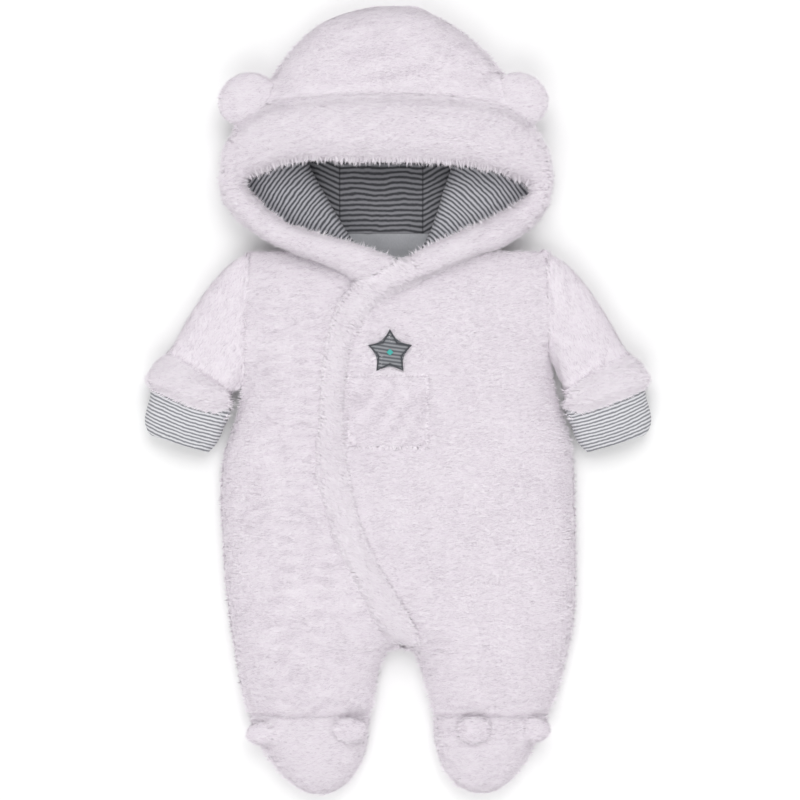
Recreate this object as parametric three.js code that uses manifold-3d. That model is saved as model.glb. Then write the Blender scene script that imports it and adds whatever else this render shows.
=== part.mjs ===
// A baby's hooded, footed snowsuit of padded white plush, laid on its back with its wrap front up.
// Each panel is a wall of plush, wadding and lining. The front panels lie over the back panel and
// meet it at the side seams, and the suit stays a little open inside, as its wadding holds it.
// Millimetres. +X is to the right as seen from above, +Y runs from the feet to the hood, and +Z is
// up from the surface that the suit lies on. The origin is on that surface, under the suit's middle.

import * as THREE from "three";
import { mergeVertices } from "three/addons/utils/BufferGeometryUtils.js";
import Module from "manifold-3d";

const wasm = await Module();
wasm.setup();

// Cloth
const SEAM_GAP = 0.3; // between two pieces that are sewn edge to edge
const LAY_GAP = 0.7; // under a piece that lies on a curved panel
const SHELL = 9; // plush, wadding and lining of a body panel
const SLEEVE_SHELL = 7;
const SLEEVE_END_SHELL = 4; // inside the cuff
const HOOD_SHELL = 8;
const LINING = 2;

// How the laid body rounds off
const SEAM_HEIGHT = 16; // side seams above the surface
const FLOOR_ROLL = 18; // from a side seam in to the flat underside
const EDGE_ROLL = 38; // from a side seam in to the full height of the front
const CROWN_REACH = 120; // the front still rises a little this far in
const CROWN_SHARE = 0.14;
const WRAP_RAISE = 3; // the upper front lies on the lower one beside the placket
const WRAP_REACH = 45;
const SEAM_DIP = 3.5; // how deep a seam pulls the padding in
const SEAM_DIP_REACH = 7;

// Turns rows of numbers into objects with named columns.
const columns = (names, rows) =>
  rows.map((row) => Object.fromEntries(names.map((name, i) => [name, row[i]])));

// The body's outline, from the shoulders to the ankle seam, and its height along the middle.
const BODY = columns(
  ["y", "left", "right", "height"],
  [
    [150, -150.5, 150.5, 34],
    [100, -152.5, 151.5, 42],
    [44, -154, 152.5, 45],
    [14, -155, 156.5, 46],
    [-10, -160, 163.5, 46],
    [-22, -164.5, 168, 46],
    [-40, -172.5, 174.5, 47],
    [-60, -177.5, 177.5, 48],
    [-100, -178.5, 178.5, 49],
    [-140, -176.5, 179.5, 49],
    [-180, -174.5, 179.5, 48],
    [-220, -170, 178, 47],
    [-250, -165, 172, 46],
    [-280, -160.5, 165, 43],
    [-300, -156, 158, 40],
    [-318, -149.5, 151, 37],
  ],
);
const HALVES_LAP = 0.2; // the back's two halves share this much along the middle, and are joined
const UNDERARM = { left: 14, right: 44 }; // where each armhole ends and the side seam starts
const ANKLE = -318;

// The inside leg seams, from the crotch down.
const INSEAM = columns(
  ["y", "left", "right"],
  [
    [-249.5, 2.8, 3.2],
    [-251, -7, 12],
    [-255, -12.5, 17.5],
    [-262, -15.5, 20.5],
    [-280, -20.5, 25],
    [-300, -23.5, 31.5],
    [-318, -28, 36],
  ],
);
const CROTCH = INSEAM[0];

// The plush band along the edge of the upper front: its two edges and its thickness.
const PLACKET = columns(
  ["leftX", "leftY", "rightX", "rightY", "thick"],
  [
    [12.1, 145.3, 24.1, 119.3, 20],
    [-15.5, 135, -1, 109, 19],
    [-30.7, 128.7, -11.5, 103, 17],
    [-47.2, 113.8, -23.5, 96, 14],
    [-60.5, 97.2, -35.5, 82.5, 12],
    [-68.5, 76, -45, 65.5, 11],
    [-73.8, 50.7, -51.5, 44, 10.5],
    [-77, 17.6, -56, 17, 10],
    [-78.7, -15.6, -57.5, -15.6, 10],
    [-81.5, -45, -57, -43, 10],
    [-82, -76, -52, -68, 10],
    [-73.6, -107, -46.5, -100, 10],
    [-65.6, -133.8, -38.5, -128, 10],
    [-54.8, -157.9, -27.5, -153, 10],
    [-38.8, -190, -13.5, -179, 10],
    [-25.4, -219.5, 0.5, -201, 9.5],
    [-12, -238.2, 12.5, -221, 9],
    [-1.5, -247.5, 21, -243, 7],
  ],
);
const UNDERLAP = 7; // the lower front's edge, hidden under the band, from the band's right edge

// The neckline of each front, hidden under the face band.
const NECKLINE = columns(
  ["y", "left", "right"],
  [
    [150, -88, 88],
    [140, -64, 66],
    [130, -40, 44],
    [122, -20, 27],
  ],
);

const NECKLINE_END = 122;

// Arm sections: the outer and inner edge of the arm as it lies, and the height that it fills.
const ARM = columns(
  ["outerX", "outerY", "leftInX", "leftInY", "rightInX", "rightInY", "bottom", "top"],
  [
    [151.5, 149, 155.8, 15, 153.2, 45, 0, 38],
    [168, 141, 161.5, 11, 158, 36, 0, 41],
    [188.5, 119, 163.5, 9.5, 160.5, 28, 0, 43],
    [205, 95, 165, 8.5, 162.5, 21, 0, 43],
    [219, 71, 166.5, 7.5, 164.5, 15, 1, 42],
    [230.5, 49, 167.5, 7, 166.5, 10, 3, 41],
    [236.5, 34, 169, 6, 168.5, 6, 6, 40],
    [237, 17, 175, -6, 175, -6, 10, 36],
    [239, 5, 181, -15, 181, -15, 12, 33],
  ],
);

// The turned-back cuff's outer surface, from under the roll to the fold at the hand.
const CUFF = columns(
  ["outerX", "outerY", "innerX", "innerY", "bottom", "top"],
  [
    [245, 20, 168.5, -10, 4, 42],
    [248.5, 8, 172, -22, 3, 41],
    [254.5, -10, 176.5, -36.5, 2, 38],
    [257.5, -23, 182, -46, 2, 34],
    [251.5, -35, 190.5, -53.5, 4, 27],
  ],
);
const CUFF_WALL = 4;
const ROLL_LIFT = [3.5, 8.5, 9, 3.5]; // how far the plush roll stands out, from the arm to the cuff
const ROLL_TOWARDS_BODY = 1.6;
const ROLL_CLEARANCE = 1; // between the roll and the arm inside it
const SECTION_POWER = 2.6; // between an ellipse, 2, and a box
const RING = 22; // points round an arm

// The plush band round the face, from the left end at the neck over the brow to the right end.
const FACE_BAND = columns(
  ["innerX", "innerY", "outerX", "outerY", "bottom", "top"],
  [
    [7, 138.5, -36, 114, 40, 58],
    [-6, 144.5, -49.5, 121, 40, 58],
    [-23, 151, -60, 128, 40, 60],
    [-49.5, 160, -77, 135, 40, 61],
    [-79.5, 166, -102, 144, 38, 61],
    [-107.5, 176, -133.5, 158, 34, 60],
    [-131.5, 193, -159.5, 177, 26, 57],
    [-146.5, 208, -175.5, 198, 22.6, 55],
    [-152.5, 218, -180, 220, 22.6, 55],
    [-147.5, 222, -176.5, 251, 24, 59],
    [-137.5, 226, -161.5, 276, 28, 65],
    [-117.5, 233, -133.5, 292, 36, 72],
    [-89.5, 238, -99.5, 300, 42, 77],
    [-49.5, 236, -53.5, 302, 45, 80],
    [-7.5, 236, -7.5, 303, 46, 81],
    [32.5, 235, 38.5, 302, 45, 80],
    [68.5, 233, 80.5, 297, 42, 77],
    [100.5, 226, 114.5, 288, 36, 72],
    [122.5, 218, 140.5, 270, 28, 65],
    [129.5, 215, 152.5, 248, 24, 59],
    [132.5, 211, 156.5, 220, 22.6, 55],
    [126.5, 204, 151.5, 193, 22.6, 55],
    [110.5, 192, 134.5, 171, 26, 57],
    [85.5, 179, 108.5, 153, 34, 60],
    [55.5, 166, 74.5, 141, 38, 61],
    [30.5, 156, 46.5, 130, 40, 61],
    [12.5, 145.5, 24.5, 119.5, 40, 61],
  ],
);
const BAND_SHELL = 9;
const BAND_SHELL_SHARE = 0.7; // the most of the band's height that its wall takes
const BAND_POWER = 2.5;
const BAND_POINTS = 10;
const BODY_TOP = 150; // the neck end of the body, where the hood's floor starts

// The hood's back and sides as they lie, from the neck to the top of the crown.
const HOOD = columns(
  ["y", "left", "right"],
  [
    [149.5, -80, 80],
    [160, -116, 113],
    [170, -140, 128],
    [180, -153, 141],
    [198, -168, 149],
    [220, -173, 151],
    [250, -169, 147],
    [276, -155, 136],
    [292, -146, 128],
    [306, -138, 121],
    [328, -124, 105.5],
    [350, -109, 88.5],
    [370, -90, 66],
    [382, -74, 47],
    [391, -48, 30],
    [395.5, -18, 16],
  ],
);
const HOOD_SEAM = 22; // height of the seam round the crown
const CROWN_START = 276; // the crown is sewn to the hood's edge from here to the top
const CROWN_END_SHARE = 0.03; // of the brow's edge, that the crown leaves bare at each end
const HOOD_HEIGHT = 65;
const HOOD_ROLL = 48;
const BROW = { from: 10, to: 18 }; // rows of FACE_BAND that the crown is sewn to

// The hood's flat lining ends this far from the hood's edge, and no further out than the limits.
const LINING_INSET = 32;
const LINING_LIMITS = { left: -96, right: 84 };
const FACING = { bottom: 104, top: 167.7, halfWidth: 58 };

// Lining of the hood's sides, folded in, from brow to neck: its edge under the face band, the fold,
// the height of that edge, and how far the fold bulges over it.
const SIDE_LINING = columns(
  ["leftX", "leftY", "leftFoldX", "leftFoldY", "rightX", "rightY", "rightFoldX", "rightFoldY", "edge", "bulge"],
  [
    [-138, 248, -97, 262, 121, 246, 60, 260, 27, 4],
    [-151, 229, -92, 246, 133, 229, 56, 246, 24, 7],
    [-156, 217, -86, 231, 136, 213, 52, 231, 22.2, 9],
    [-151, 203, -77, 214, 130, 199, 46, 214, 22.2, 10],
    [-135, 190, -67, 197, 114, 187, 40.5, 197, 25, 9],
    [-110, 174, -56, 179, 88, 172, 35, 180, 31, 6],
    [-82, 163, -46, 163, 59, 160, 29, 164, 34, 3],
    [-60, 155, -38, 152, 38, 150, 22, 152, 35, 2],
  ],
);
// The fold's section, from under the face band out to the fold and back beneath: how far along, how
// far between the hood's floor and the edge's height, and how much of the bulge is added.
const FOLD = columns(
  ["along", "rise", "bulge"],
  [
    [0, 1, 0],
    [0.08, 1, 0],
    [0.26, 1, 0.7],
    [0.48, 1, 1],
    [0.76, 1, 0.9],
    [0.94, 0.9, 0.6],
    [1, 0.55, 0.2],
    [0.95, 0.2, 0],
    [0.8, 0, 0],
  ],
);

// The feet as they lie, toes down.
const FEET = {
  left: columns(
    ["y", "left", "right"],
    [
      [-318, -149.5, -28],
      [-330, -147, -29.5],
      [-345, -141, -31],
      [-360, -132, -34.5],
      [-375, -120, -41.5],
      [-385, -110, -49],
      [-391.5, -101, -57],
      [-395.5, -91, -66],
      [-397.2, -84, -73],
    ],
  ),
  right: columns(
    ["y", "left", "right"],
    [
      [-318, 36, 151],
      [-330, 36, 147],
      [-345, 37, 138.5],
      [-360, 41, 130.5],
      [-375, 47, 121.5],
      [-385, 55.5, 113],
      [-391, 63.5, 104.5],
      [-394.5, 71, 96.5],
      [-396, 79, 89],
    ],
  ),
};
const HIDDEN_DEPTH = -20; // below the surface, for blocks that only cut
const FOOT_HEIGHT = 40;
const FOOT_ROLL = 32;

// Small padded ears: middle, half sizes across, along and through, and turn in degrees.
const HOOD_EARS = columns(
  ["name", "x", "y", "z", "across", "along", "through", "turn"],
  [
    ["ear_left", -149, 299, 42, 31, 28, 13, 20],
    ["ear_right", 120.5, 299, 44, 30, 28, 13, -28],
  ],
);
const FOOT_EARS = columns(
  ["name", "x", "y", "z", "across", "along", "through", "turn"],
  [
    ["foot_ear_left_outer", -132, -333, 31, 19, 12, 9, 10],
    ["foot_ear_left_inner", -49, -330, 38, 16, 12.5, 8, 0],
    ["foot_ear_right_inner", 76, -330, 39, 16.5, 13.5, 8, 0],
    ["foot_ear_right_outer", 134, -329.5, 31, 17, 12.5, 9, -6],
  ],
);

const POCKET = { left: -49.5, right: 29.5, bottom: -48, top: 25.5, thick: 5, edge: 1.5, roll: 8 };
const BADGE = { x: -8, y: 47.5, radius: 23, waist: 12.5, points: 5, thick: 2 };

const FINISH = {
  plush: { color: 0xe9e2e8, roughness: 0.95, metalness: 0 },
  stripes: { color: 0xa3a4a9, roughness: 0.9, metalness: 0 },
  grey: { color: 0x8f9195, roughness: 0.9, metalness: 0 },
  badge: { color: 0x7d7f84, roughness: 0.9, metalness: 0 },
};

const suit = new THREE.Group();

function add(name, finish, geometry) {
  const mesh = new THREE.Mesh(geometry, new THREE.MeshStandardMaterial(FINISH[finish]));
  mesh.name = name;
  suit.add(mesh);
}

// Reads a column of a table at y, on straight lines between its rows. Rows go down in y or up.
function at(rows, y, column, yColumn = "y") {
  const down = rows[0][yColumn] > rows[rows.length - 1][yColumn];
  const list = down ? rows : [...rows].reverse();
  if (y >= list[0][yColumn]) return list[0][column];
  for (let i = 1; i < list.length; i++) {
    const above = list[i - 1];
    const below = list[i];
    if (y >= below[yColumn]) {
      const share = (above[yColumn] - y) / (above[yColumn] - below[yColumn]);
      return above[column] + (below[column] - above[column]) * share;
    }
  }
  return list[list.length - 1][column];
}

// A quarter of a circle: 0 at an edge, 1 from a full reach inwards.
function rounded(share) {
  const left = 1 - Math.min(Math.max(share, 0), 1);
  return Math.sqrt(1 - left * left);
}

function distanceTo(line, x, y) {
  let least = Infinity;
  for (let i = 1; i < line.length; i++) {
    const [ax, ay] = line[i - 1];
    const [bx, by] = line[i];
    const run = (bx - ax) ** 2 + (by - ay) ** 2;
    const share = Math.min(Math.max(((x - ax) * (bx - ax) + (y - ay) * (by - ay)) / run, 0), 1);
    least = Math.min(least, Math.hypot(x - ax - (bx - ax) * share, y - ay - (by - ay) * share));
  }
  return least;
}

const outline = (rows, column) => rows.map((row) => [row[column], row.y]);

// Places a row's points close together near its two ends, where the cloth turns down.
const crowded = (share) => (1 - Math.cos(Math.PI * share)) / 2;

function flatArray(points) {
  return new Float32Array(points.flatMap((p) => [p.x, p.y, p.z]));
}

// A closed geometry from points and triangles, turned so that its faces point out.
function closed(points, triangles) {
  let volume = 0;
  for (const [a, b, c] of triangles) {
    volume += points[a].dot(new THREE.Vector3().crossVectors(points[b], points[c]));
  }
  const faces = volume < 0 ? triangles.map(([a, b, c]) => [a, c, b]) : triangles;
  const geometry = new THREE.BufferGeometry();
  geometry.setAttribute("position", new THREE.BufferAttribute(flatArray(points), 3));
  geometry.setIndex(faces.flat());
  geometry.computeVertexNormals();
  return geometry;
}

// A wall between two grids of points of the same size.
function wall(outer, inner) {
  const rows = outer.length;
  const across = outer[0].length;
  const points = [...outer.flat(), ...inner.flat()];
  const front = (r, c) => r * across + c;
  const back = (r, c) => rows * across + r * across + c;
  const triangles = [];
  const quad = (a, b, c, d) => triangles.push([a, b, c], [a, c, d]);
  for (let r = 0; r + 1 < rows; r++) {
    for (let c = 0; c + 1 < across; c++) {
      quad(front(r, c), front(r, c + 1), front(r + 1, c + 1), front(r + 1, c));
      quad(back(r, c), back(r + 1, c), back(r + 1, c + 1), back(r, c + 1));
    }
    quad(front(r, 0), front(r + 1, 0), back(r + 1, 0), back(r, 0));
    const last = across - 1;
    quad(front(r + 1, last), front(r, last), back(r, last), back(r + 1, last));
  }
  for (let c = 0; c + 1 < across; c++) {
    quad(front(0, c + 1), front(0, c), back(0, c), back(0, c + 1));
    quad(front(rows - 1, c), front(rows - 1, c + 1), back(rows - 1, c + 1), back(rows - 1, c));
  }
  return closed(points, triangles);
}

// A skin through rings of equal size, capped at both ends, or joined end to end.
function skin(rings, joined) {
  const size = rings[0].length;
  const points = rings.flat();
  const triangles = [];
  const steps = joined ? rings.length : rings.length - 1;
  for (let r = 0; r < steps; r++) {
    const next = (r + 1) % rings.length;
    for (let k = 0; k < size; k++) {
      const turn = (k + 1) % size;
      const [a, b, c, d] = [r * size + k, r * size + turn, next * size + turn, next * size + k];
      triangles.push([a, b, c], [a, c, d]);
    }
  }
  if (!joined) {
    for (const [ring, way] of [[0, 1], [rings.length - 1, 0]]) {
      const middle = new THREE.Vector3();
      rings[ring].forEach((p) => middle.addScaledVector(p, 1 / size));
      points.push(middle);
      for (let k = 0; k < size; k++) {
        const pair = [ring * size + k, ring * size + ((k + 1) % size)];
        triangles.push(way ? [points.length - 1, pair[1], pair[0]] : [points.length - 1, ...pair]);
      }
    }
  }
  return closed(points, triangles);
}

// The grid's normals, on the side of it that faces up (1) or down (-1).
function normals(grid, up) {
  const pick = (r, c) =>
    grid[Math.min(Math.max(r, 0), grid.length - 1)][Math.min(Math.max(c, 0), grid[0].length - 1)];
  const raw = grid.map((row, r) =>
    row.map((_, c) => {
      const along = new THREE.Vector3().subVectors(pick(r + 1, c), pick(r - 1, c));
      const across = new THREE.Vector3().subVectors(pick(r, c + 1), pick(r, c - 1));
      return new THREE.Vector3().crossVectors(along, across).normalize();
    }),
  );
  const facing = raw.flat().reduce((sum, n) => sum + n.z, 0) * up;
  return facing < 0 ? raw.map((row) => row.map((n) => n.negate())) : raw;
}

// A panel as it lies: rows across at each level, on a surface, with its inside offset from it
// within each row's own upright plane.
// keep(point) holds the inside where the panel's neighbours leave room.
function panel({ levels, from, to, surface, thick, up, across, keep }) {
  const outer = levels.map((y) =>
    Array.from({ length: across + 1 }, (_, c) => {
      const x = from(y) + (to(y) - from(y)) * crowded(c / across);
      return new THREE.Vector3(x, y, surface(x, y));
    }),
  );
  const away = normals(outer, up);
  const inner = outer.map((row, r) =>
    row.map((p, c) => {
      const { x, y, z } = away[r][c];
      const q = new THREE.Vector3(p.x - x * thick, p.y, p.z - up * Math.hypot(y, z) * thick);
      q.x = Math.min(Math.max(q.x, from(levels[r])), to(levels[r]));
      return keep(q);
    }),
  );
  return wall(outer, inner);
}

const bodyBelow = (side) => [
  [at(BODY, UNDERARM[side], side), UNDERARM[side]],
  ...outline(BODY.filter((row) => row.y < UNDERARM[side]), side),
];
const SIDES = { left: bodyBelow("left"), right: bodyBelow("right") };
const SHOULDERS = [
  [[-150.5, 150], [-120, 165]],
  [[150.5, 150], [120, 165]],
];
const ARMHOLES = ["left", "right"].map((side) => [
  [at(BODY, 150, side), 150],
  [at(BODY, UNDERARM[side], side), UNDERARM[side]],
]);
const CROTCH_LINE = [...outline(INSEAM, "left").reverse(), ...outline(INSEAM, "right").slice(1)];
const PLACKET_EDGE = PLACKET.map((row) => [row.rightX, row.rightY]);

const dip = (distance) => SEAM_DIP * Math.exp(-((distance / SEAM_DIP_REACH) ** 2));

// Height of the front's outer surface.
function frontHeight(x, y) {
  const edges = [SIDES.left, SIDES.right, CROTCH_LINE, ...SHOULDERS].map((e) => distanceTo(e, x, y));
  let share = 1;
  edges.forEach((d) => (share *= rounded(d / EDGE_ROLL)));
  share *= 1 - CROWN_SHARE + CROWN_SHARE * rounded(Math.min(...edges) / CROWN_REACH);
  const pulled = ARMHOLES.map((a) => dip(distanceTo(a, x, y))).reduce((a, b) => a + b);
  const rise = at(BODY, y, "height") - SEAM_HEIGHT - pulled - dip(y - ANKLE);
  return SEAM_HEIGHT + rise * share;
}

// The upper front is raised beside the placket, where it lies on the lower one.
function upperFrontHeight(x, y) {
  const away = distanceTo(PLACKET_EDGE, x, y) / WRAP_REACH;
  const rim = Math.min(distanceTo(CROTCH_LINE, x, y) / EDGE_ROLL, 1);
  return frontHeight(x, y) + WRAP_RAISE * Math.exp(-away * away) * rim;
}

// Height of the back panel's underside.
function backHeight(x, y) {
  const edges = [SIDES.left, SIDES.right, CROTCH_LINE].map((e) => distanceTo(e, x, y));
  return (SEAM_HEIGHT - SEAM_GAP) * (1 - rounded(Math.min(...edges) / FLOOR_ROLL));
}

const atOrAbove = (height) => (q) => {
  q.z = Math.max(q.z, height);
  return q;
};
const atOrBelow = (height) => (q) => {
  q.z = Math.min(q.z, height);
  return q;
};

const LEG_LEVELS = [-249.5, -251, -255, -262, -272, -286, -302, ANKLE];

function fronts() {
  const bandLevels = PLACKET.map((row) => row.rightY).filter((y) => y > CROTCH.y);
  const levels = [...NECKLINE.map((row) => row.y), ...bandLevels, ...LEG_LEVELS];
  const bandAt = (y) => at(PLACKET, y, "rightX", "rightY");
  const lowerInner = (y) => {
    if (y >= NECKLINE_END) return at(NECKLINE, y, "left");
    if (y <= CROTCH.y) return at(INSEAM, y, "left");
    return Math.min(bandAt(y) - UNDERLAP, CROTCH.left);
  };
  const upperInner = (y) => {
    if (y >= NECKLINE_END) return at(NECKLINE, y, "right");
    if (y <= CROTCH.y) return at(INSEAM, y, "right");
    return bandAt(y) + SEAM_GAP;
  };
  const shared = { levels, thick: SHELL, up: 1, across: 9, keep: atOrAbove(SEAM_HEIGHT) };
  const lower = panel({
    ...shared,
    from: (y) => at(BODY, y, "left"),
    to: lowerInner,
    surface: frontHeight,
  });
  const upper = panel({
    ...shared,
    from: upperInner,
    to: (y) => at(BODY, y, "right"),
    surface: upperFrontHeight,
  });
  add("front_lower", "plush", lower);
  add("front_upper", "plush", upper);
  return { lower: solid(lower), upper: solid(upper) };
}

function solid(geometry) {
  const bare = geometry.clone();
  bare.deleteAttribute("normal");
  bare.deleteAttribute("uv");
  const merged = mergeVertices(bare, 1e-3);
  return new wasm.Manifold(new wasm.Mesh({
    numProp: 3,
    vertProperties: merged.attributes.position.array,
    triVerts: new Uint32Array(merged.index.array),
  }));
}

function geometryOf(made) {
  const mesh = made.getMesh();
  const geometry = new THREE.BufferGeometry();
  geometry.setAttribute("position", new THREE.BufferAttribute(new Float32Array(mesh.vertProperties), 3));
  geometry.setIndex(new THREE.BufferAttribute(new Uint32Array(mesh.triVerts), 1));
  geometry.computeVertexNormals();
  return geometry;
}

function back() {
  const levels = [148.8, 100, 44, 14, -10, -22, -40, -60, -100, -140, -180, -220, ...LEG_LEVELS];
  const middle = (side, y) => (y > CROTCH.y ? CROTCH.left : at(INSEAM, y, side));
  const shared = {
    levels,
    surface: backHeight,
    thick: SHELL,
    up: -1,
    across: 7,
    keep: atOrBelow(SEAM_HEIGHT - SEAM_GAP),
  };
  const left = panel({
    ...shared,
    from: (y) => at(BODY, y, "left"),
    to: (y) => middle("left", y) + (y > CROTCH.y ? HALVES_LAP : 0),
  });
  const right = panel({
    ...shared,
    from: (y) => middle("right", y) - (y > CROTCH.y ? HALVES_LAP : 0),
    to: (y) => at(BODY, y, "right"),
  });
  const joined = solid(left).add(solid(right));
  add("back", "plush", geometryOf(joined));
  return joined;
}

// What is left of a piece beside its neighbours, when each of them is moved a seam's gap each way.
function clear(made, neighbours) {
  let left = made;
  for (const neighbour of neighbours) {
    for (const axis of [0, 1, 2]) {
      for (const way of [-SEAM_GAP, SEAM_GAP]) {
        const move = [0, 0, 0];
        move[axis] = way;
        left = left.subtract(neighbour.translate(move));
      }
    }
  }
  return left;
}

function largest(made) {
  return made.decompose().reduce((a, b) => (b.volume() > a.volume() ? b : a));
}

function placket({ lower, upper }) {
  const across = 6;
  const grid = (lift) =>
    PLACKET.map((row) =>
      Array.from({ length: across + 1 }, (_, c) => {
        const share = c / across;
        const x = row.leftX + (row.rightX - row.leftX) * share;
        const y = row.leftY + (row.rightY - row.leftY) * share;
        return new THREE.Vector3(x, y, frontHeight(x, y) + LAY_GAP + lift(row.thick, share));
      }),
    );
  const bulge = (thick, share) => 1 + (thick - 1) * rounded(1 - Math.abs(2 * share - 1) ** 1.6);
  const made = largest(clear(solid(wall(grid(bulge), grid(() => 0))), [lower, upper]));
  add("placket", "plush", geometryOf(made));
  return made;
}

const signedPower = (value, power) => Math.sign(value) * Math.abs(value) ** power;

// A ring round a section that stands on the line from one edge to the other.
function ring({ outerX, outerY, innerX, innerY, bottom, top }, offset) {
  const run = new THREE.Vector2(outerX - innerX, outerY - innerY);
  const half = run.length() / 2 + offset;
  run.normalize();
  const halfHeight = (top - bottom) / 2 + offset;
  return Array.from({ length: RING }, (_, k) => {
    const angle = (2 * Math.PI * k) / RING;
    const along = half * signedPower(Math.cos(angle), 2 / SECTION_POWER);
    const height = halfHeight * signedPower(Math.sin(angle), 2 / SECTION_POWER);
    return new THREE.Vector3(
      (outerX + innerX) / 2 + run.x * along,
      (outerY + innerY) / 2 + run.y * along,
      Math.max((top + bottom) / 2 + height, 0),
    );
  });
}

// An arch over a section, from its outer edge over the top to its inner edge.
function arch({ outerX, outerY, innerX, innerY, bottom, top }, offset) {
  const run = new THREE.Vector2(outerX - innerX, outerY - innerY);
  const half = run.length() / 2 + offset;
  run.normalize();
  return Array.from({ length: BAND_POINTS + 1 }, (_, k) => {
    const angle = (Math.PI * k) / BAND_POINTS;
    const along = half * signedPower(Math.cos(angle), 2 / BAND_POWER);
    const height = (top - bottom + offset) * Math.sin(angle) ** (2 / BAND_POWER);
    return new THREE.Vector3(
      (outerX + innerX) / 2 + run.x * along,
      (outerY + innerY) / 2 + run.y * along,
      bottom + height,
    );
  });
}

// The same section, grown outwards, upwards and downwards, but only a little towards the body.
function grown(row, lift, inward) {
  const run = new THREE.Vector2(row.outerX - row.innerX, row.outerY - row.innerY).normalize();
  return {
    outerX: row.outerX + run.x * lift,
    outerY: row.outerY + run.y * lift,
    innerX: row.innerX - run.x * inward,
    innerY: row.innerY - run.y * inward,
    bottom: Math.max(row.bottom - lift, 0),
    top: row.top + lift,
  };
}

function arm(side) {
  const mirror = side === "left" ? -1 : 1;
  const sleeve = ARM.map((row) => ({
    outerX: mirror * row.outerX,
    outerY: row.outerY,
    innerX: mirror * row[`${side}InX`],
    innerY: row[`${side}InY`],
    bottom: row.bottom,
    top: row.top,
  }));
  const cuff = CUFF.map((row) => ({ ...row, outerX: mirror * row.outerX, innerX: mirror * row.innerX }));
  const tube = (rows, thick) => [
    ...rows.map((row) => ring(row, 0)),
    ...rows.map((row, i) => ring(row, -thick(i))).reverse(),
  ];
  const sleeveShell = (i) => (i > sleeve.length - 3 ? SLEEVE_END_SHELL : SLEEVE_SHELL);
  add(`sleeve_${side}`, "plush", skin(tube(sleeve, sleeveShell), true));
  add(`cuff_${side}`, "stripes", skin(tube(cuff, () => CUFF_WALL), true));

  // The roll: a rounded plush edge round the top of the cuff.
  const under = [sleeve[5], sleeve[6], cuff[0], cuff[1]];
  const over = under.map((row, i) => ring(grown(row, ROLL_LIFT[i], ROLL_TOWARDS_BODY), 0));
  const beneath = [...under].reverse().map((row) => ring(row, ROLL_CLEARANCE));
  add(`cuff_roll_${side}`, "plush", skin([...over, ...beneath], true));
}

// The face band, as an arch of padded cloth round the opening. Its left end is tucked in against
// the placket.
function faceBand(placketBand) {
  const rows = FACE_BAND.map((row) => {
    const middle = [(row.innerX + row.outerX) / 2, (row.innerY + row.outerY) / 2];
    const places = [[row.innerX, row.innerY], [row.outerX, row.outerY], middle];
    const panelHeight = row.outerX < 0 ? frontHeight : upperFrontHeight;
    const under = places.map(([x, y]) => (y < BODY_TOP ? panelHeight(x, y) + LAY_GAP : 0));
    return { ...row, bottom: Math.max(row.bottom, ...under) };
  });
  const shell = (row) => Math.min(BAND_SHELL, BAND_SHELL_SHARE * (row.top - row.bottom));
  const outer = rows.map((row) => arch(row, 0));
  const whole = solid(wall(outer, rows.map((row) => arch(row, -shell(row)))));
  const band = largest(clear(whole, [placketBand]));
  add("face_band", "plush", geometryOf(band));
  const filled = (offset) => {
    const over = rows.map((row) => arch(row, offset));
    return solid(wall(over, over.map((row) => row.map((p) => p.clone().setZ(0)))));
  };
  return { band, filled };
}

const HOOD_EDGE = [...outline(HOOD, "left"), ...outline(HOOD, "right").reverse()];

const crownHeight = (x, y) =>
  HOOD_SEAM + (HOOD_HEIGHT - HOOD_SEAM) * rounded(distanceTo(HOOD_EDGE, x, y) / HOOD_ROLL);

function hood(band) {
  // The back and sides, with their edge rolled up to the seam.
  add("hood_back", "plush", panel({
    levels: HOOD.map((row) => row.y),
    from: (y) => at(HOOD, y, "left"),
    to: (y) => at(HOOD, y, "right"),
    surface: (x, y) =>
      (HOOD_SEAM - SEAM_GAP) * (1 - rounded(distanceTo(HOOD_EDGE.slice(1, -1), x, y) / FLOOR_ROLL)),
    thick: HOOD_SHELL,
    up: -1,
    across: 12,
    keep: atOrBelow(HOOD_SEAM - SEAM_GAP),
  }));

  // The crown, from the brow's edge back to the seam.
  const brow = FACE_BAND.slice(BROW.from, BROW.to + 1).map(
    (row) => new THREE.Vector3(row.outerX, row.outerY - 1, 0),
  );
  const sewn = HOOD.filter((row) => row.y > CROWN_START);
  const rim = [
    ...sewn.map((row) => new THREE.Vector3(row.left, row.y, 0)),
    ...[...sewn].reverse().map((row) => new THREE.Vector3(row.right, row.y, 0)),
  ];
  const browLine = new THREE.CatmullRomCurve3(brow);
  const rimLine = new THREE.CatmullRomCurve3(rim);
  const across = 16;
  const rows = 7;
  const outer = Array.from({ length: rows + 1 }, (_, r) =>
    Array.from({ length: across + 1 }, (_, c) => {
      const a = browLine.getPointAt(CROWN_END_SHARE + ((1 - 2 * CROWN_END_SHARE) * c) / across);
      const b = rimLine.getPointAt(c / across);
      const p = a.lerp(b, Math.sin((Math.PI / 2) * (r / rows)));
      p.z = r === rows ? HOOD_SEAM : crownHeight(p.x, p.y);
      return p;
    }),
  );
  const away = normals(outer, 1);
  const inner = outer.map((row, r) =>
    row.map((p, c) => {
      const q = p.clone().addScaledVector(away[r][c], -HOOD_SHELL);
      const end = c === 0 || c === across;
      if (end && r === rows) {
        q.lerpVectors(p, outer[r - 1][c], 0.5);
        q.z = HOOD_SEAM;
      } else if (end || r === 0) {
        q.set(p.x, p.y, p.z - HOOD_SHELL);
      }
      return atOrAbove(HOOD_SEAM)(q);
    }),
  );
  const crown = solid(wall(outer, inner)).subtract(band.filled(SEAM_GAP));
  add("hood_crown", "plush", geometryOf(crown));
  return crown;
}

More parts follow.
